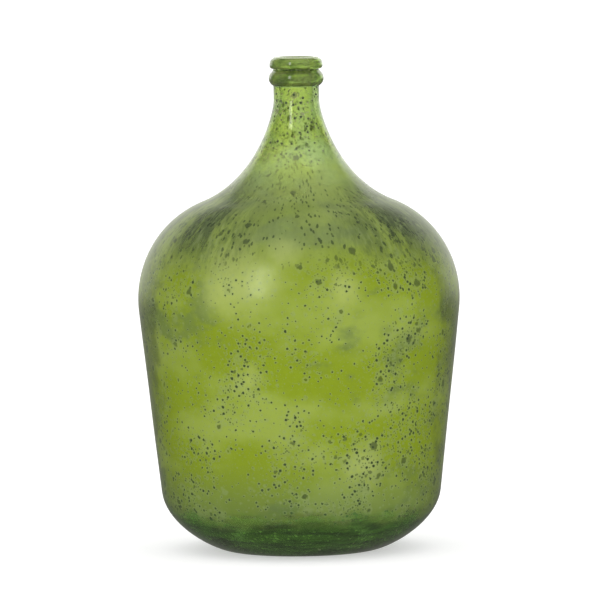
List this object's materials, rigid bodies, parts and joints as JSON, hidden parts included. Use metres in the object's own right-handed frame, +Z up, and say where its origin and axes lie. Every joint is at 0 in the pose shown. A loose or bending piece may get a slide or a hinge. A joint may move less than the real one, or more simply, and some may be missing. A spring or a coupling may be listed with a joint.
{
  "type": "glass demijohn",
  "caption": "Large green glass demijohn with a wide belly, round heel, pushed-up base, long flared neck, neck collar and mouth lip.",
  "frame": {"origin": "middle of the foot, on the surface that the bottle stands on", "axes": "+Z up along the bottle's axis of rotation, from the foot to the mouth"},
  "size_m": [0.4398, 0.4398, 0.674],
  "materials": {
    "speckled_green_glass": "green glass, softly frosted, with small dark specks and milky patches",
    "neck_green_glass": "green glass, glossy, lightly speckled"
  },
  "bodies": {
    "root": {"glass_body": "speckled_green_glass", "neck_collar": "neck_green_glass", "mouth_lip": "neck_green_glass"}
  },
  "joints": []
}
